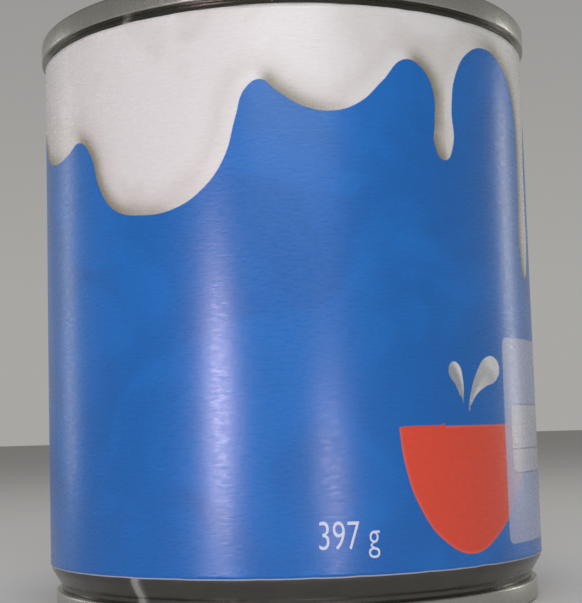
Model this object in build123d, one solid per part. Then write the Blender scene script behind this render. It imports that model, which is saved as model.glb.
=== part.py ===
from build123d import *
import os

# A shut can of condensed milk, in millimetres. It stands on the foot of its base seam,
# with +Z up and the origin at the centre of that foot.

# Can as a whole
can_height = 84.2
body_radius = 36.5

# Double seams that lock the two ends to the body
seam_overhang = 0.65        # how far the top seam stands out past the body wall
seam_height = 3.0
seam_thickness = 1.2
seam_crown_rounding = 0.5
seam_hook_rounding = 0.3    # the lower edge, where the end is rolled in under the body
stack_clearance = 0.15      # between the base seam and the top recess of the can under it

# Neck at the base and the slight draw under the top seam
base_neck_depth = 0.8       # how far the base seam stands out past the neck
base_neck_height = 3.1
base_neck_straight = 0.7
neck_rounding = 0.9
shoulder_rounding = 1.6
top_draw_depth = 0.45
top_draw_height = 0.9
top_draw_straight = 0.3
top_draw_rounding = 0.35

# Pressed ends
recess_depth = 3.2          # from the seam's crown to the panel
chuck_wall_taper = 0.35     # how far the recess wall leans in on its way down
groove_width = 1.5
groove_depth = 0.35
groove_rounding = 0.3
groove_ramp = 0.5
plate_backing = 0.9         # the end's plate, from the foot of the groove to its flat back
plug_clearance = 0.25       # between the end's plate and the pocket in the body
bead_width = 2.4
bead_height = 0.5
bead_ramp = 0.6
bead_rounding = 0.4
bead_insets = (3.2, 11.0, 19.5)   # from the panel's edge in to each bead's outer foot

# Paper label, wrapped round the straight part of the body
label_thickness = 0.12
label_glue_gap = 0.03
label_base_margin = 0.5     # bare metal between the neck's shoulder and the paper
label_top_margin = 0.2      # bare metal between the paper and the draw under the seam

# Radii and levels that follow from the sizes above
top_seam_radius = body_radius + seam_overhang
base_seam_radius = top_seam_radius - seam_thickness - stack_clearance
neck_radius = base_seam_radius - base_neck_depth
neck_top = seam_height + base_neck_height
body_rim = can_height - seam_height
plate_back = recess_depth + groove_depth + plate_backing


def turned(outline):
    # Turns a closed outline round Z. Each corner is (radius, height, rounding).
    face = make_face(Polyline([(r, z) for r, z, _ in outline], close=True))
    for r, z, rounding in outline:
        if rounding > 0:
            corner = face.vertices().sort_by_distance((r, z, 0))[0]
            face = fillet(corner, rounding)
    return revolve(Plane.XZ * face, Axis.Z)


def plate_radius(seam_radius):
    # Radius of the plate's flat back, under the foot of the recess wall
    return seam_radius - seam_thickness - chuck_wall_taper


def bead_corners(outer_foot, level):
    # One raised ring in the panel, from its outer foot to its inner foot
    crown = level + bead_height
    inner_foot = outer_foot - bead_width
    return [
        (outer_foot, level, bead_rounding),
        (outer_foot - bead_ramp, crown, bead_rounding),
        (inner_foot + bead_ramp, crown, bead_rounding),
        (inner_foot, level, bead_rounding),
    ]


def can_end(seam_radius):
    # A pressed end with its seam, the crown of the seam at z=0 and the can below it
    recess_wall = seam_radius - seam_thickness
    groove_outer = plate_radius(seam_radius)
    groove_inner = groove_outer - groove_width
    panel = -recess_depth
    groove = panel - groove_depth
    outline = [
        (0, -plate_back, 0),
        (groove_outer - plug_clearance, -plate_back, 0),
        (groove_outer - plug_clearance, -seam_height, 0),
        (seam_radius, -seam_height, seam_hook_rounding),
        (seam_radius, 0, seam_crown_rounding),
        (recess_wall, 0, seam_crown_rounding),
        (groove_outer, groove, groove_rounding),
        (groove_inner, groove, groove_rounding),
        (groove_inner - groove_ramp, panel, groove_rounding),
    ]
    for inset in bead_insets:
        outline += bead_corners(groove_inner - groove_ramp - inset, panel)
    outline.append((0, panel, 0))
    return turned(outline)


def top_end():
    return Pos(0, 0, can_height) * can_end(top_seam_radius)


def base_end():
    return Rot(180, 0, 0) * can_end(base_seam_radius)


def can_body():
    # Filled steel body: necked in at the base, drawn in a little under the top seam,
    # with a pocket at each end for the plate of the pressed end
    top_pocket = plate_radius(top_seam_radius)
    base_pocket = plate_radius(base_seam_radius)
    draw_radius = body_radius - top_draw_depth
    return turned([
        (0, plate_back, 0),
        (base_pocket, plate_back, 0),
        (base_pocket, seam_height, 0),
        (neck_radius, seam_height, 0),
        (neck_radius, seam_height + base_neck_straight, neck_rounding),
        (body_radius, neck_top, shoulder_rounding),
        (body_radius, body_rim - top_draw_height, top_draw_rounding),
        (draw_radius, body_rim - top_draw_straight, 0),
        (draw_radius, body_rim, 0),
        (top_pocket, body_rim, 0),
        (top_pocket, can_height - plate_back, 0),
        (0, can_height - plate_back, 0),
    ])


def paper_label():
    inner = body_radius + label_glue_gap
    outer = inner + label_thickness
    foot = neck_top + label_base_margin
    head = body_rim - top_draw_height - label_top_margin
    return turned([(inner, foot, 0), (outer, foot, 0), (outer, head, 0), (inner, head, 0)])


os.makedirs("parts", exist_ok=True)
for node in (can_body, top_end, base_end, paper_label):
    export_step(node(), f"parts/{node.__name__}.step")
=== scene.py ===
import bpy
import bmesh
import math
from mathutils import Matrix, Vector, kdtree, noise


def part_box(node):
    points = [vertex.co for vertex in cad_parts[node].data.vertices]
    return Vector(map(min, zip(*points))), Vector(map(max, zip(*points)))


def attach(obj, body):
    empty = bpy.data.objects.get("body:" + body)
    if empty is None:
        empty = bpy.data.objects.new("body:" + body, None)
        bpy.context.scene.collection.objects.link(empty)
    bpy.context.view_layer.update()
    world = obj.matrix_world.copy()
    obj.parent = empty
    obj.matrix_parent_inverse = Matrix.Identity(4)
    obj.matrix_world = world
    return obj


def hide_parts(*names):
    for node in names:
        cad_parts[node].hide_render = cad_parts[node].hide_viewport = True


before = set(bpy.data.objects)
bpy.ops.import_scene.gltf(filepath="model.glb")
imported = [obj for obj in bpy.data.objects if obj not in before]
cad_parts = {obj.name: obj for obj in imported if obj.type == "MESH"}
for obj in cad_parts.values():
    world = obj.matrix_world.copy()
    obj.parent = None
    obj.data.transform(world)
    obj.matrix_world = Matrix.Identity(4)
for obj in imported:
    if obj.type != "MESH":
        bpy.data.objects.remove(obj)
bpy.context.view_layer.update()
mm = 0.001


def linear(hexColour):  # sRGB hex to the linear colour a shader takes
    parts = [int(hexColour[i:i + 2], 16) / 255 for i in (1, 3, 5)]
    return [c / 12.92 if c <= 0.04045 else ((c + 0.055) / 1.055) ** 2.4 for c in parts] + [1.0]


def addNode(tree, kind, inputs=None, **settings):  # a node with its settings, values and links
    node = tree.nodes.new(kind)
    for name, value in settings.items():
        setattr(node, name, value)
    for socket, value in (inputs or {}).items():
        if isinstance(value, bpy.types.NodeSocket):
            tree.links.new(value, node.inputs[socket])
        else:
            node.inputs[socket].default_value = value
    return node


def newMaterial(name):
    material = bpy.data.materials.new(name)
    material.use_nodes = True
    tree = material.node_tree
    return material, tree, tree.nodes["Principled BSDF"]


def finishPiece(name, bm, materials, smooth=True):  # bmesh in metres to a linked object at the origin
    mesh = bpy.data.meshes.new(name)
    for face in bm.faces:
        face.smooth = smooth
    bm.to_mesh(mesh)
    bm.free()
    for material in materials:
        mesh.materials.append(material)
    piece = bpy.data.objects.new(name, mesh)
    bpy.context.collection.objects.link(piece)
    return piece


def angleOf(point):  # radians round the can from the front of the label, to the right
    return math.atan2(point.x, -point.y)


# Sizes read from the frame, in millimetres
labelLow, labelHigh = [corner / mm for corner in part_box("paper_label")]
bodyLow, bodyHigh = [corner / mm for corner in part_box("can_body")]
topLow, topHigh = [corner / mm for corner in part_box("top_end")]
baseLow, baseHigh = [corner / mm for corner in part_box("base_end")]
labelRadius = labelHigh.x
labelTurn = 2 * math.pi * labelRadius


# The label's print on the flat sheet, in mm: x runs round the can from its front and y goes up
printSpec = {
    "milkEdge": [  # lower edge of the poured milk, once round the can
        (-112, 70.5), (-108, 68.5), (-104.5, 66.5), (-100.5, 69), (-97, 73), (-93, 74.5), (-89.5, 71.5),
        (-88, 65), (-88, 58.5), (-86.3, 56.5), (-84.6, 58.5), (-84.4, 66), (-82.5, 71), (-78, 73),
        (-73, 69.5), (-69, 62), (-63.5, 57.5), (-58, 60), (-54.5, 66), (-51.5, 69.5), (-48, 68),
        (-44.5, 65), (-40, 63.9), (-35.8, 64.5), (-32.6, 65.5), (-29.8, 63.3), (-27.9, 58.5),
        (-25, 55.1), (-20, 53.8), (-15, 54.2), (-11, 56.4), (-8, 60.2), (-6.3, 65.5), (-5, 69.1),
        (-3, 70.3), (-1, 68.8), (2.5, 66.6), (6.5, 66), (10, 67.2), (13.3, 70.2), (16.8, 73.4),
        (19.3, 72.5), (21.1, 69.6), (21.2, 65), (21, 62.5), (22.7, 60.3), (24.3, 62.4), (24.3, 67.5),
        (25.3, 72.3), (28, 75.8), (32, 77.1), (36, 76.1), (39.6, 73.4), (41.9, 68), (42.1, 58),
        (41.8, 49.5), (43.9, 46), (46.2, 49.5), (46.6, 58), (47.5, 66), (51, 71), (56, 71.5),
        (60.5, 67.5), (65, 65), (69.5, 67), (72.5, 71.5), (76, 73.5), (79.5, 71), (80.8, 64),
        (81, 56), (82.7, 53.5), (84.4, 56), (84.6, 64), (86, 70.5), (90, 74), (95, 71.5),
        (99, 64.5), (104, 60.5), (109, 62.5), (112.5, 67.5)],
    "bowl": [  # half round bowl with a flat brim
        (13.9, 25.1), (14.6, 20.3), (16.5, 15), (20.2, 10.4), (25.2, 8.4), (30.6, 10.5), (36, 15.3),
        (39.2, 20.3), (40.3, 25.1)],
    "leftDrop": [(24.3, 27.7), (23.1, 30.3), (21.9, 32), (22.4, 33.4), (23.6, 33.2), (24.4, 31)],
    "rightDrop": [(25.1, 26.3), (25.8, 29.3), (27.1, 32), (29, 34), (31.3, 34.1), (32.4, 32.6),
                  (31.4, 31), (29, 30.2), (26.6, 28.8)],
    "panel": {"x": (33.4, 66), "y": (8.9, 37), "corner": 1.2},
    "panelBox": {"x": (35.2, 50), "y": (18.4, 27.8), "corner": 1.1, "line": 0.18, "dividerY": 21.7},
    "lightFrom": (0.85, 0.55),  # the printed milk is shaded as if lit from the upper right
    "lightStep": 1.1,
}


def smoothLine(points, closed=False, sharp=()):  # a Bezier curve through the points, as short steps
    curve = bpy.data.curves.new("outline", "CURVE")
    curve.resolution_u = 14
    spline = curve.splines.new("BEZIER")
    spline.bezier_points.add(len(points) - 1)
    spline.use_cyclic_u = closed
    for i, (x, y) in enumerate(points):
        knot = spline.bezier_points[i]
        knot.co = (x, y, 0)
        knot.handle_left_type = knot.handle_right_type = "VECTOR" if i in sharp else "AUTO"
    holder = bpy.data.objects.new("outline", curve)
    bpy.context.collection.objects.link(holder)
    bpy.context.view_layer.update()
    mesh = bpy.data.meshes.new_from_object(holder)
    line = [vertex.co.to_2d() for vertex in mesh.vertices]
    bpy.data.objects.remove(holder)
    bpy.data.curves.remove(curve)
    bpy.data.meshes.remove(mesh)
    return line + [line[0]] if closed else line


def depthInside(line):
    # gives a function for how deep a point lies inside the outline, in mm, below 0 when it is outside
    tree = kdtree.KDTree(len(line) - 1)
    columns = {}
    for i, (start, end) in enumerate(zip(line, line[1:])):
        tree.insert(((start + end) / 2).to_3d(), i)
        for column in range(math.floor(min(start.x, end.x)), math.floor(max(start.x, end.x)) + 1):
            columns.setdefault(column, []).append((start, end))
    tree.balance()

    def depth(x, y):
        point = Vector((x, y))
        away = 1000.0
        for _, i, _ in tree.find_n(point.to_3d(), 4):
            start, step = line[i], line[i + 1] - line[i]
            share = min(max((point - start).dot(step) / max(step.length_squared, 1e-12), 0), 1)
            away = min(away, (point - start - step * share).length)
        below = [1 for a, b in columns.get(math.floor(x), ())
                 if (a.x > x) != (b.x > x) and y > a.y + (x - a.x) / (b.x - a.x) * (b.y - a.y)]
        return away if len(below) % 2 else -away

    return depth


def boxDepth(x, y, spec):  # depth inside a rectangle with round corners
    halfX = (spec["x"][1] - spec["x"][0]) / 2 - spec["corner"]
    halfY = (spec["y"][1] - spec["y"][0]) / 2 - spec["corner"]
    dx = abs(x - sum(spec["x"]) / 2) - halfX
    dy = abs(y - sum(spec["y"]) / 2) - halfY
    outside = math.hypot(max(dx, 0), max(dy, 0)) + min(max(dx, dy), 0)
    return spec["corner"] - outside


edge = printSpec["milkEdge"]
wrapped = ([(x - labelTurn, y) for x, y in edge[-5:]] + edge + [(x + labelTurn, y) for x, y in edge[:5]])
milkDepth = depthInside(smoothLine(wrapped))
bowlDepth = depthInside(smoothLine(printSpec["bowl"], True, (0, len(printSpec["bowl"]) - 1)))
leftDepth = depthInside(smoothLine(printSpec["leftDrop"], True, (0,)))
rightDepth = depthInside(smoothLine(printSpec["rightDrop"], True, (0,)))
print("outlines ready")


paperSpec = {
    "ink": {"blue": "#0468BA", "blueDeep": "#0360AE", "milk": "#D8D8D5", "milkFold": "#C8C6C0",
            "milkShade": "#85806C", "red": "#D6462F", "redEdge": "#DE5A45", "drop": "#CFD2D0",
            "dropShade": "#93989A", "panel": "#A3ABC6", "panelBox": "#B9BBC2", "line": "#2B3040",
            "border": "#B9C0CC"},
    "inkEdge": 0.05,  # half the width in which one ink gives way to the next, mm
    "milkShadow": 2.6,  # how far the shadow reaches in from the milk's edge, mm
    "bandStart": (0.6, 2.4),  # a soft grey band further in comes up and fades again, mm
    "bandEnd": (2.0, 5.0),
    "bandStrength": 0.55,
    "foldStrength": 0.7,  # broad soft folds in the milk
    "milkRim": 0.5,  # darker blue just outside the milk, mm and strength
    "rimStrength": 0.35,
    "redRim": 0.5,
    "panelCover": 0.82,
    "boxCover": 0.75,
    "lineCover": 0.6,
    "dotsPerMm": 4.0,  # the printing screen, coarser than a real one so that it shows
    "dotStrength": 0.5,
    "cloudPerMm": 0.06,  # slow drift of the inks
    "fibrePerMm": (0.715, 2.47, 1.3),  # paper fibres, longer round the can than up it
    "fibreHeight": 0.03,
    "varnishRoughness": (0.23, 0.34),
}


def paperMaterial():
    # Clay coated label paper, offset printed and varnished: flat ink colours under a satin gloss
    # that breaks up into a fine cross-grain where a lamp is mirrored.
    spec = paperSpec
    material, tree, shader = newMaterial("coatedPaperOffsetPrinted")
    colour = {name: linear(value) for name, value in spec["ink"].items()}

    def depth(name):
        return addNode(tree, "ShaderNodeAttribute", attribute_name=name).outputs["Fac"]

    def ramp(value, low, high, start=0.0, end=1.0, kind="SMOOTHSTEP"):
        return addNode(tree, "ShaderNodeMapRange", {"Value": value, "From Min": low, "From Max": high,
                       "To Min": start, "To Max": end}, interpolation_type=kind).outputs[0]

    def maths(operation, a, b=0.0):
        return addNode(tree, "ShaderNodeMath", {0: a, 1: b}, operation=operation).outputs[0]

    def blend(share, a, b):
        return addNode(tree, "ShaderNodeMix", {0: share, 6: a, 7: b}, data_type="RGBA").outputs[2]

    def printOver(paint, shape, top, cover=1.0):  # one ink over another wherever the shape is above 0
        return blend(ramp(shape, -spec["inkEdge"], spec["inkEdge"], 0.0, cover), paint, top)

    sheet = addNode(tree, "ShaderNodeUVMap", uv_map="OFBake").outputs[0]
    flat = addNode(tree, "ShaderNodeMapping", {"Vector": sheet, "Scale": sheetScale}).outputs[0]
    dots = addNode(tree, "ShaderNodeTexNoise", {"Vector": flat, "Scale": spec["dotsPerMm"],
                   "Detail": 1.0}).outputs[0]
    cloud = addNode(tree, "ShaderNodeTexNoise", {"Vector": flat, "Scale": spec["cloudPerMm"],
                    "Detail": 2.0, "Distortion": 1.2}).outputs[0]
    grain = maths("MULTIPLY", maths("SUBTRACT", dots, 0.5), spec["dotStrength"])

    # milk: darker where its edge faces down or left, with the dots of the screen showing there
    milk, lit = depth("milkDepth"), depth("milkLit")
    near = ramp(milk, 0.0, spec["milkShadow"], 1.0, 0.0)
    shadow = maths("MULTIPLY", ramp(maths("SUBTRACT", grain, lit), 0.0, 1.0), near)
    band = maths("MULTIPLY", ramp(milk, *spec["bandEnd"], 1.0, 0.0), ramp(milk, *spec["bandStart"]))
    band = maths("MULTIPLY", band, spec["bandStrength"])
    fold = ramp(cloud, 0.46, 0.66, 0.0, spec["foldStrength"])
    milkColour = blend(fold, colour["milk"], colour["milkFold"])
    milkColour = blend(band, milkColour, colour["milkFold"])
    milkColour = blend(shadow, milkColour, colour["milkShade"])

    # bowl, drops and panel on the blue field
    paint = blend(ramp(cloud, 0.35, 0.65), colour["blue"], colour["blueDeep"])
    bowl = depth("bowlDepth")
    paint = printOver(paint, bowl, blend(ramp(bowl, 0.0, spec["redRim"]), colour["redEdge"], colour["red"]))
    dropShare = ramp(maths("SUBTRACT", grain, depth("dropLit")), -0.3, 0.9)
    paint = printOver(paint, depth("dropDepth"), blend(dropShare, colour["drop"], colour["dropShade"]))
    paint = printOver(paint, depth("panelDepth"), colour["panel"], spec["panelCover"])

    # box in the panel, outlined and divided by thin lines
    box = depth("boxDepth")
    paint = printOver(paint, box, colour["panelBox"], spec["boxCover"])
    half = printSpec["panelBox"]["line"] / 2
    outline = maths("SUBTRACT", half, maths("ABSOLUTE", box))
    divider = maths("MINIMUM", box, maths("SUBTRACT", half, maths("ABSOLUTE", depth("fromDivider"))))
    paint = printOver(paint, maths("MAXIMUM", outline, divider), colour["line"], spec["lineCover"])

    # milk over all of it, then the pale border along the foot
    paint = blend(ramp(milk, -spec["milkRim"], 0.0, 0.0, spec["rimStrength"]), paint, colour["blueDeep"])
    paint = printOver(paint, milk, milkColour)
    paint = printOver(paint, depth("borderDepth"), colour["border"])
    tree.links.new(paint, shader.inputs["Base Color"])

    # satin varnish over paper whose fibres lie round the can
    fibre = addNode(tree, "ShaderNodeMapping", {"Vector": flat, "Scale": spec["fibrePerMm"]}).outputs[0]
    weave = addNode(tree, "ShaderNodeTexNoise", {"Vector": fibre, "Scale": 1.0, "Detail": 3.0,
                    "Roughness": 0.65}).outputs[0]
    bump = addNode(tree, "ShaderNodeBump", {"Height": weave, "Strength": 0.55,
                   "Distance": spec["fibreHeight"] * mm})
    tree.links.new(bump.outputs[0], shader.inputs["Normal"])
    tree.links.new(ramp(weave, 0.3, 0.7, *spec["varnishRoughness"], "LINEAR"), shader.inputs["Roughness"])
    shader.inputs["IOR"].default_value = 1.5
    shader.inputs["Specular IOR Level"].default_value = 0.6
    return material


def paperCoreMaterial():
    # Cut edge of the label paper: bare pulp, so it is matt and off-white
    material, tree, shader = newMaterial("barePaperCutEdge")
    place = addNode(tree, "ShaderNodeTexCoord").outputs["Object"]
    pulp = addNode(tree, "ShaderNodeTexNoise", {"Vector": place, "Scale": 4 / mm}).outputs[0]
    tint = addNode(tree, "ShaderNodeMix", {0: pulp, 6: linear("#DAD6CB"), 7: linear("#BFBAAE")},
                   data_type="RGBA")
    tree.links.new(tint.outputs[2], shader.inputs["Base Color"])
    shader.inputs["Roughness"].default_value = 0.9
    return material


def tinplateMaterial(name, spec):
    # Cold rolled steel with a bright tin coat: a grey metal whose mirror is drawn out by the
    # mill's fine grain, with faint cloudy patches of tin, and paler along the welded seam.
    material, tree, shader = newMaterial(name)
    place = addNode(tree, "ShaderNodeTexCoord").outputs["Object"]
    scale = [count / mm for count in spec["grainPerMm"]]
    stretched = addNode(tree, "ShaderNodeMapping", {"Vector": place, "Scale": scale}).outputs[0]
    grain = addNode(tree, "ShaderNodeTexNoise", {"Vector": stretched, "Scale": 1.0, "Detail": 3.0}).outputs[0]
    cloud = addNode(tree, "ShaderNodeTexNoise", {"Vector": place, "Scale": 0.16 / mm, "Detail": 4.0,
                    "Distortion": 0.8}).outputs[0]
    bright, dull = [linear(colour) for colour in spec["tin"]]
    tint = addNode(tree, "ShaderNodeMix", {0: cloud, 6: bright, 7: dull}, data_type="RGBA").outputs[2]
    weld = addNode(tree, "ShaderNodeAttribute", attribute_name="weld").outputs["Fac"]
    tint = addNode(tree, "ShaderNodeMix", {0: weld, 6: tint, 7: linear("#D8D6CF")},
                   data_type="RGBA").outputs[2]
    tree.links.new(tint, shader.inputs["Base Color"])
    rough = addNode(tree, "ShaderNodeMapRange", {"Value": grain, "From Min": 0.3, "From Max": 0.7,
                    "To Min": spec["roughness"][0], "To Max": spec["roughness"][1]}).outputs[0]
    tree.links.new(rough, shader.inputs["Roughness"])
    bump = addNode(tree, "ShaderNodeBump", {"Height": grain, "Strength": 0.35, "Distance": 0.02 * mm})
    tree.links.new(bump.outputs[0], shader.inputs["Normal"])
    shader.inputs["Metallic"].default_value = 1.0
    return material


# Turned tinplate, sizes in mm
seamSpec = {"height": 3.0, "thickness": 1.2, "crownRounding": 0.5, "hookRounding": 0.3, "steps": 256,
            "weldAngle": math.radians(-35), "tuck": 0.0008, "tuckWidth": 1.6}  # tuck is a share of the radius
endSpec = {"recess": 3.2, "wallTaper": 0.35, "grooveWidth": 1.5, "grooveDepth": 0.35, "grooveRamp": 0.5,
           "grooveRounding": 0.3, "plugClearance": 0.25, "beadWidth": 2.4, "beadHeight": 0.5,
           "beadRamp": 0.6, "beadRounding": 0.4, "beadInsets": (3.2, 11.0, 19.5),
           "tin": ("#BBBAB3", "#A9A8A0"), "roughness": (0.24, 0.38), "grainPerMm": (0.3, 4.5, 1.5)}
wallSpec = {"neckRadius": 35.0, "neckStraight": 0.7, "neckHeight": 3.1, "neckRounding": 0.9,
            "shoulderRounding": 1.6, "drawDepth": 0.45, "drawHeight": 0.9, "drawStraight": 0.3,
            "drawRounding": 0.35, "steps": 384, "weldHalfWidth": 0.7, "weldRise": 0.07, "weldShine": 0.8,
            "buckle": 0.1, "buckleBelowShoulder": 1.0, "buckleReach": 2.2, "bucklesRound": 5,
            "bucklesUp": 0.55,
            # the wall's tin is darker than the ends' tin as painted shade, for the dark reflections on the
            # neck
            "tin": ("#6C6B66", "#5A5954"), "roughness": (0.16, 0.30), "grainPerMm": (0.25, 0.25, 6)}


def turnedShape(corners, steps, roundSteps=5):
    # corners are (radius, height, rounding) in mm, from the axis back to the axis, spun once round
    bm = bmesh.new()
    verts = [bm.verts.new((r * mm, 0, z * mm)) for r, z, _ in corners]
    for a, b in zip(verts, verts[1:]):
        bm.edges.new((a, b))
    for i, (r, z, rounding) in enumerate(corners):
        if rounding > 0:
            before = Vector(corners[i - 1][:2]) - Vector((r, z))
            after = Vector(corners[i + 1][:2]) - Vector((r, z))
            turn = math.pi - before.angle(after)
            bmesh.ops.bevel(bm, geom=[verts[i]], offset=rounding * math.tan(turn / 2) * mm,
                            offset_type="OFFSET", segments=roundSteps, profile=0.5,
                            affect="VERTICES", material=-1)
    bmesh.ops.spin(bm, geom=bm.verts[:] + bm.edges[:], cent=(0, 0, 0), axis=(0, 0, 1),
                   angle=2 * math.pi, steps=steps, use_merge=True)
    bmesh.ops.remove_doubles(bm, verts=bm.verts[:], dist=0.004 * mm)
    bmesh.ops.recalc_face_normals(bm, faces=bm.faces[:])
    return bm


def plateRadius(seamRadius):  # the end's plate, which fits in a pocket of the body
    return seamRadius - seamSpec["thickness"] - endSpec["wallTaper"]


def endCorners(seamRadius, back):  # a pressed end, the seam's crown at 0 and the can below it
    seam, end = seamSpec, endSpec
    wall = seamRadius - seam["thickness"]
    outer = plateRadius(seamRadius)
    inner = outer - end["grooveWidth"]
    panel, groove = -end["recess"], -end["recess"] - end["grooveDepth"]
    corners = [(0, -back, 0), (outer - end["plugClearance"], -back, 0),
               (outer - end["plugClearance"], -seam["height"], 0),
               (seamRadius, -seam["height"], seam["hookRounding"]), (seamRadius, 0, seam["crownRounding"]),
               (wall, 0, seam["crownRounding"]), (outer, groove, end["grooveRounding"]),
               (inner, groove, end["grooveRounding"]),
               (inner - end["grooveRamp"], panel, end["grooveRounding"])]
    for inset in end["beadInsets"]:
        foot = inner - end["grooveRamp"] - inset
        for radius, level in ((foot, 0), (foot - end["beadRamp"], 1),
                              (foot - end["beadWidth"] + end["beadRamp"], 1), (foot - end["beadWidth"], 0)):
            corners.append((radius, panel + level * end["beadHeight"], end["beadRounding"]))
    return corners + [(0, panel, 0)]


def pressedEnd(name, node, seamRadius, level, up, back, material):
    bm = turnedShape(endCorners(seamRadius, back), seamSpec["steps"])
    for vert in bm.verts:
        # the seam is rolled a little tighter where it crosses the body's weld
        spread = (angleOf(vert.co) - seamSpec["weldAngle"]) * seamRadius / seamSpec["tuckWidth"]
        onSeam = vert.co.xy.length > (seamRadius - seamSpec["crownRounding"]) * mm
        if onSeam and -vert.co.z / mm < seamSpec["height"] - seamSpec["hookRounding"]:
            vert.co.xy *= 1 - seamSpec["tuck"] * math.exp(-spread * spread)
        vert.co.z = level * mm + up * vert.co.z
    bmesh.ops.recalc_face_normals(bm, faces=bm.faces[:])
    piece = finishPiece(name, bm, [material])
    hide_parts(node)
    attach(piece, "root")
    return piece


def canWall(material):
    wall = wallSpec
    neckFoot, neckTop = bodyLow.z, bodyLow.z + wall["neckHeight"]
    drawRadius = bodyHigh.x - wall["drawDepth"]
    basePocket, topPocket = plateRadius(baseHigh.x), plateRadius(topHigh.x)
    corners = [(0, baseHigh.z, 0), (basePocket, baseHigh.z, 0), (basePocket, neckFoot, 0),
               (wall["neckRadius"], neckFoot, 0),
               (wall["neckRadius"], neckFoot + wall["neckStraight"], wall["neckRounding"]),
               (bodyHigh.x, neckTop, wall["shoulderRounding"]),
               (bodyHigh.x, bodyHigh.z - wall["drawHeight"], wall["drawRounding"]),
               (drawRadius, bodyHigh.z - wall["drawStraight"], 0), (drawRadius, bodyHigh.z, 0),
               (topPocket, bodyHigh.z, 0), (topPocket, topLow.z, 0), (0, topLow.z, 0)]
    bm = turnedShape(corners, wall["steps"], 8)
    weld = bm.verts.layers.float.new("weld")
    for vert in bm.verts:
        height, angle = vert.co.z / mm, angleOf(vert.co)
        radius = vert.co.xy.length / mm
        if radius < (basePocket + wall["neckRadius"]) / 2:
            continue
        aside = (angle - seamSpec["weldAngle"]) * radius / wall["weldHalfWidth"]
        weldShape = math.exp(-aside ** 4)
        # the neck is pinched in by dies, which leaves it faintly buckled
        neck = max(0.0, 1 - abs(height - neckTop + wall["buckleBelowShoulder"]) / wall["buckleReach"])
        around = wall["bucklesRound"]
        spot = Vector((math.sin(angle) * around, math.cos(angle) * around, height * wall["bucklesUp"]))
        buckle = noise.noise(spot) + 0.5 * noise.noise(spot * 2.7)
        radius += wall["weldRise"] * weldShape - wall["buckle"] * neck * abs(buckle)
        vert[weld] = wall["weldShine"] * weldShape
        vert.co.xy = vert.co.xy.normalized() * min(radius, bodyHigh.x) * mm
    bmesh.ops.recalc_face_normals(bm, faces=bm.faces[:])
    piece = finishPiece("canWall", bm, [material])
    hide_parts("can_body")
    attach(piece, "root")
    return piece


# the rolled wall takes a darker copy of the tinplate, which is painted shade
wallTinPaintedShade = tinplateMaterial("tinplateRolledRoundPaintedShade", wallSpec)
endTin = tinplateMaterial("tinplatePressed", endSpec)
canWall(wallTinPaintedShade)
pressedEnd("topEndPressed", "top_end", topHigh.x, topHigh.z, 1, topHigh.z - topLow.z, endTin)
pressedEnd("baseEndPressed", "base_end", baseHigh.x, baseLow.z, -1, baseHigh.z - baseLow.z, endTin)
print("tinplate pieces ready")


# The paper label, sizes in mm
labelSpec = {
    "columns": 420, "rows": 140, "thickness": 0.12,
    "lap": 7.0, "lapRamp": 2.5, "lapRise": 0.15,  # the sheet runs over its own start at the back
    "inset": 0.04, "wave": 0.05, "waveBias": 0.4, "wavesRound": 4, "wavesUp": 0.05,
    "edgeLift": 0.05, "edgeLiftBias": 0.3, "edgeLiftReach": 1.2, "ripplesRound": 11,
    "cutWave": 0.12, "cutWaveReach": 2.0,  # how unevenly the sheet was cut along its long edges
    "border": 0.16, "uvMarginX": 0.005, "uvMarginY": 0.02,
}
sheetLength = labelTurn + labelSpec["lap"]
sheetHeight = labelHigh.z - labelLow.z
sheetScale = (sheetLength / (1 - 2 * labelSpec["uvMarginX"]),
              sheetHeight / (1 - 2 * labelSpec["uvMarginY"]), 1)


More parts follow.
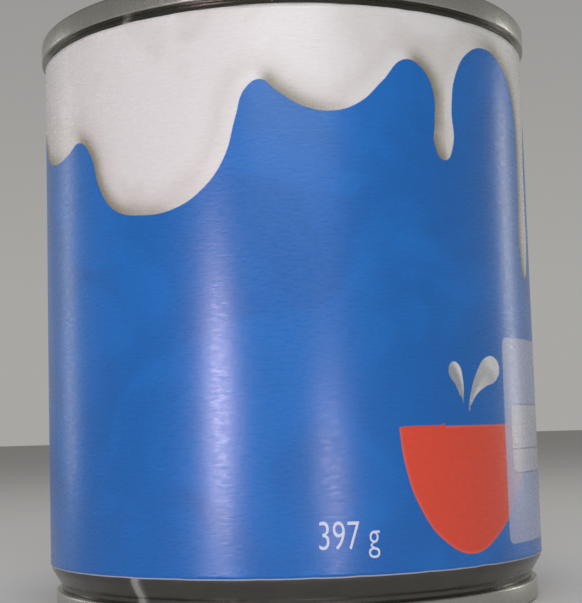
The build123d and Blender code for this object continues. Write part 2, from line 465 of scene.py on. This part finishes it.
def labelSheet(materials):
    spec = labelSpec
    bm = bmesh.new()
    uvLayer = bm.loops.layers.uv.new("OFBake")
    names = ("milkDepth", "milkLit", "bowlDepth", "dropDepth", "dropLit", "panelDepth", "boxDepth",
             "fromDivider", "borderDepth")
    layer = {name: bm.verts.layers.float.new(name) for name in names}
    bmesh.ops.create_grid(bm, x_segments=spec["columns"], y_segments=spec["rows"], size=0.5)
    light = Vector(printSpec["lightFrom"]).normalized() * printSpec["lightStep"]
    box = printSpec["panelBox"]
    place = {}
    for vert in bm.verts:
        across, up = vert.co.x + 0.5, vert.co.y + 0.5
        x = (across - 0.5) * sheetLength
        y = labelLow.z + up * sheetHeight
        drop = max(leftDepth(x, y), rightDepth(x, y))
        litX, litY = x - light.x, y - light.y
        milk = milkDepth(x, y)
        frameDepth = boxDepth(x, y, box)
        values = {"milkDepth": milk, "milkLit": (milkDepth(litX, litY) - milk) / light.length,
                  "bowlDepth": bowlDepth(x, y), "dropDepth": drop,
                  "dropLit": (max(leftDepth(litX, litY), rightDepth(litX, litY)) - drop) / light.length,
                  "panelDepth": boxDepth(x, y, printSpec["panel"]), "boxDepth": frameDepth,
                  "fromDivider": y - box["dividerY"],
                  "borderDepth": spec["border"] - (y - labelLow.z)}
        for name, value in values.items():
            vert[layer[name]] = value
        place[vert] = (across, up, x, y)
    for face in bm.faces:
        for loop in face.loops:
            across, up = place[loop.vert][:2]
            loop[uvLayer].uv = (spec["uvMarginX"] + across * (1 - 2 * spec["uvMarginX"]),
                                spec["uvMarginY"] + up * (1 - 2 * spec["uvMarginY"]))
    for vert, (across, up, x, y) in place.items():
        angle = x / labelRadius
        fromEdge = min(up, 1 - up) * sheetHeight
        lap = min(max((x - (sheetLength / 2 - spec["lap"])) / spec["lapRamp"], 0), 1)
        ring = Vector((math.sin(angle), math.cos(angle), 0))
        wave = noise.noise(ring * spec["wavesRound"] + Vector((0, 0, y * spec["wavesUp"])))
        ripple = noise.noise(ring * spec["ripplesRound"] + Vector((0, 0, 7)))
        lift = math.exp(-fromEdge / spec["edgeLiftReach"])
        radius = labelRadius - spec["inset"] + spec["wave"] * (wave + spec["waveBias"])
        radius += spec["edgeLift"] * lift * (ripple + spec["edgeLiftBias"]) + lap * spec["lapRise"]
        inward = -1 if up > 0.5 else 1
        y -= inward * spec["cutWave"] * min(ripple, 0) * math.exp(-fromEdge / spec["cutWaveReach"])
        vert.co = (radius * math.sin(angle) * mm, -radius * math.cos(angle) * mm, y * mm)
    bmesh.ops.recalc_face_normals(bm, faces=bm.faces[:])
    bm.faces.ensure_lookup_table()
    if bm.faces[0].normal.dot(bm.faces[0].calc_center_median()) < 0:  # an open sheet may come out turned
        bmesh.ops.reverse_faces(bm, faces=bm.faces[:])
    rim = [e for e in bm.edges if e.is_boundary]
    cut = bmesh.ops.extrude_edge_only(bm, edges=rim)["geom"]
    for vert in [g for g in cut if isinstance(g, bmesh.types.BMVert)]:
        vert.co.xy *= 1 - spec["thickness"] / labelRadius
    for face in [g for g in cut if isinstance(g, bmesh.types.BMFace)]:
        face.material_index = 1
    piece = finishPiece("labelWrap", bm, materials)
    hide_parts("paper_label")
    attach(piece, "root")
    return piece


labelSheet([paperMaterial(), paperCoreMaterial()])
print("label ready")


# Net weight in thin pale type, sizes in mm
weightSpec = {"words": "397 g", "x": 2.9, "y": 10.15, "digitHeight": 3.5, "length": 7.8, "rise": 0.05,
              "thickness": 0.004, "thin": -0.006, "slope": -0.02}


def weightPrint(material):
    spec = weightSpec
    text = bpy.data.curves.new("weightType", "FONT")
    text.body = spec["words"]
    text.offset = spec["thin"]
    text.extrude = spec["thickness"]
    holder = bpy.data.objects.new("weightType", text)
    bpy.context.collection.objects.link(holder)
    bpy.context.view_layer.update()
    mesh = bpy.data.meshes.new_from_object(holder)
    bpy.data.objects.remove(holder)
    left = min(v.co.x for v in mesh.vertices)
    width = max(v.co.x for v in mesh.vertices) - left
    tall = max(v.co.y for v in mesh.vertices)
    bm = bmesh.new()
    bm.from_mesh(mesh)
    bpy.data.meshes.remove(mesh)
    bmesh.ops.remove_doubles(bm, verts=bm.verts[:], dist=1e-5)
    for vert in bm.verts:
        x = spec["x"] + (vert.co.x - left) / width * spec["length"]
        y = spec["y"] + vert.co.y / tall * spec["digitHeight"] + spec["slope"] * (x - spec["x"])
        radius = labelRadius + spec["rise"] + vert.co.z
        angle = x / labelRadius
        vert.co = (radius * math.sin(angle) * mm, -radius * math.cos(angle) * mm, y * mm)
    bmesh.ops.recalc_face_normals(bm, faces=bm.faces[:])
    piece = finishPiece("weightPrint", bm, [material], smooth=False)
    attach(piece, "root")
    return piece


def inkMaterial():
    # Opaque pale offset ink under the same satin varnish as the sheet
    material, tree, shader = newMaterial("paleOffsetInk")
    place = addNode(tree, "ShaderNodeTexCoord").outputs["Object"]
    speck = addNode(tree, "ShaderNodeTexNoise", {"Vector": place, "Scale": 3 / mm}).outputs[0]
    tint = addNode(tree, "ShaderNodeMix", {0: speck, 6: linear("#D3DDEE"), 7: linear("#C2CCE4")},
                   data_type="RGBA")
    tree.links.new(tint.outputs[2], shader.inputs["Base Color"])
    shader.inputs["Roughness"].default_value = 0.38
    return material


weightPrint(inkMaterial())
print("weight print ready")


# Pale floor, soft lamps and camera
cameraSpec = {"distance": 204.6, "height": 25.1, "pitch": 5.52, "yaw": 0.08, "roll": -1.62, "lens": 79.5,
              "sensor": 36}  # mm and degrees
studioSpec = {"floorHalf": 4, "floorColours": ("#DEDCD8", "#DAD8D4"), "toothPerMm": 0.4,
              "airLow": "#E6E4E0", "airHigh": "#A6A6A6", "airFade": (0.1, 0.75), "airStrength": 0.5}
lampSpec = {  # place, aim and size in mm, watts, colour
    "frontSoftbox": ((30, -640, 420), (0, 0, 45), (520, 420), 2.2, "#F6F9FF"),
    "topSoftbox": ((0, -40, 620), (0, 0, 40), (420, 420), 0.8, "#FFFFFF"),
    "leftStrip": ((-152, -256, 34), (0, 0, 25), (16, 68), 0.2, "#FFE6F4"),
    "lowCard": ((70, -257, 10), (0, 0, 12), (22, 18), 0.05, "#FFE6F4"),
    "leftRim": ((-420, 230, 90), (0, 0, 40), (60, 200), 0.09, "#FFFCF6"),
    "rightRim": ((420, 230, 90), (0, 0, 40), (60, 200), 0.16, "#FFFCF6"),
}


def floorMaterial():
    # Matt studio paper, pale and slightly warm, with the faintest tooth
    spec = studioSpec
    material, tree, shader = newMaterial("mattStudioPaper")
    place = addNode(tree, "ShaderNodeTexCoord").outputs["Object"]
    tooth = addNode(tree, "ShaderNodeTexNoise", {"Vector": place,
                    "Scale": spec["toothPerMm"] / mm}).outputs[0]
    light, dark = [linear(colour) for colour in spec["floorColours"]]
    tint = addNode(tree, "ShaderNodeMix", {0: tooth, 6: light, 7: dark}, data_type="RGBA")
    tree.links.new(tint.outputs[2], shader.inputs["Base Color"])
    shader.inputs["Roughness"].default_value = 0.9
    return material


def studio():
    spec = studioSpec
    bm = bmesh.new()
    bmesh.ops.create_grid(bm, x_segments=2, y_segments=2, size=spec["floorHalf"])
    floor = finishPiece("studioFloor", bm, [floorMaterial()], smooth=False)
    for name, (place, aim, size, watts, tint) in lampSpec.items():
        lamp = bpy.data.lights.new(name, "AREA")
        lamp.shape = "RECTANGLE"
        lamp.size, lamp.size_y = size[0] * mm, size[1] * mm
        lamp.energy = watts
        lamp.color = linear(tint)[:3]
        holder = bpy.data.objects.new(name, lamp)
        holder.location = Vector(place) * mm
        holder.rotation_euler = (Vector(aim) - Vector(place)).to_track_quat("-Z", "Y").to_euler()
        holder.visible_camera = False
        bpy.context.collection.objects.link(holder)
    world = bpy.data.worlds.new("studioAir")
    world.use_nodes = True
    tree = world.node_tree
    direction = addNode(tree, "ShaderNodeTexCoord").outputs["Generated"]
    rise = addNode(tree, "ShaderNodeSeparateXYZ", {0: direction}).outputs[2]
    height = addNode(tree, "ShaderNodeMapRange", {"Value": rise, "From Min": spec["airFade"][0],
                     "From Max": spec["airFade"][1]}).outputs[0]
    air = addNode(tree, "ShaderNodeMix", {0: height, 6: linear(spec["airLow"]), 7: linear(spec["airHigh"])},
                  data_type="RGBA")
    tree.links.new(air.outputs[2], tree.nodes["Background"].inputs["Color"])
    tree.nodes["Background"].inputs["Strength"].default_value = spec["airStrength"]
    bpy.context.scene.world = world
    bpy.context.scene.view_settings.view_transform = "Standard"


def makeCamera():
    spec = cameraSpec
    lens = bpy.data.cameras.new("canCamera")
    lens.lens = spec["lens"]
    lens.sensor_width = spec["sensor"]
    lens.clip_start = 0.01
    camera = bpy.data.objects.new("canCamera", lens)
    turn = (Matrix.Rotation(-math.radians(spec["yaw"]), 4, "Z")
            @ Matrix.Rotation(math.radians(90 + spec["pitch"]), 4, "X")
            @ Matrix.Rotation(math.radians(spec["roll"]), 4, "Z"))
    camera.matrix_world = Matrix.Translation((0, -spec["distance"] * mm, spec["height"] * mm)) @ turn
    bpy.context.collection.objects.link(camera)
    bpy.context.scene.camera = camera


studio()
makeCamera()
print("studio ready")
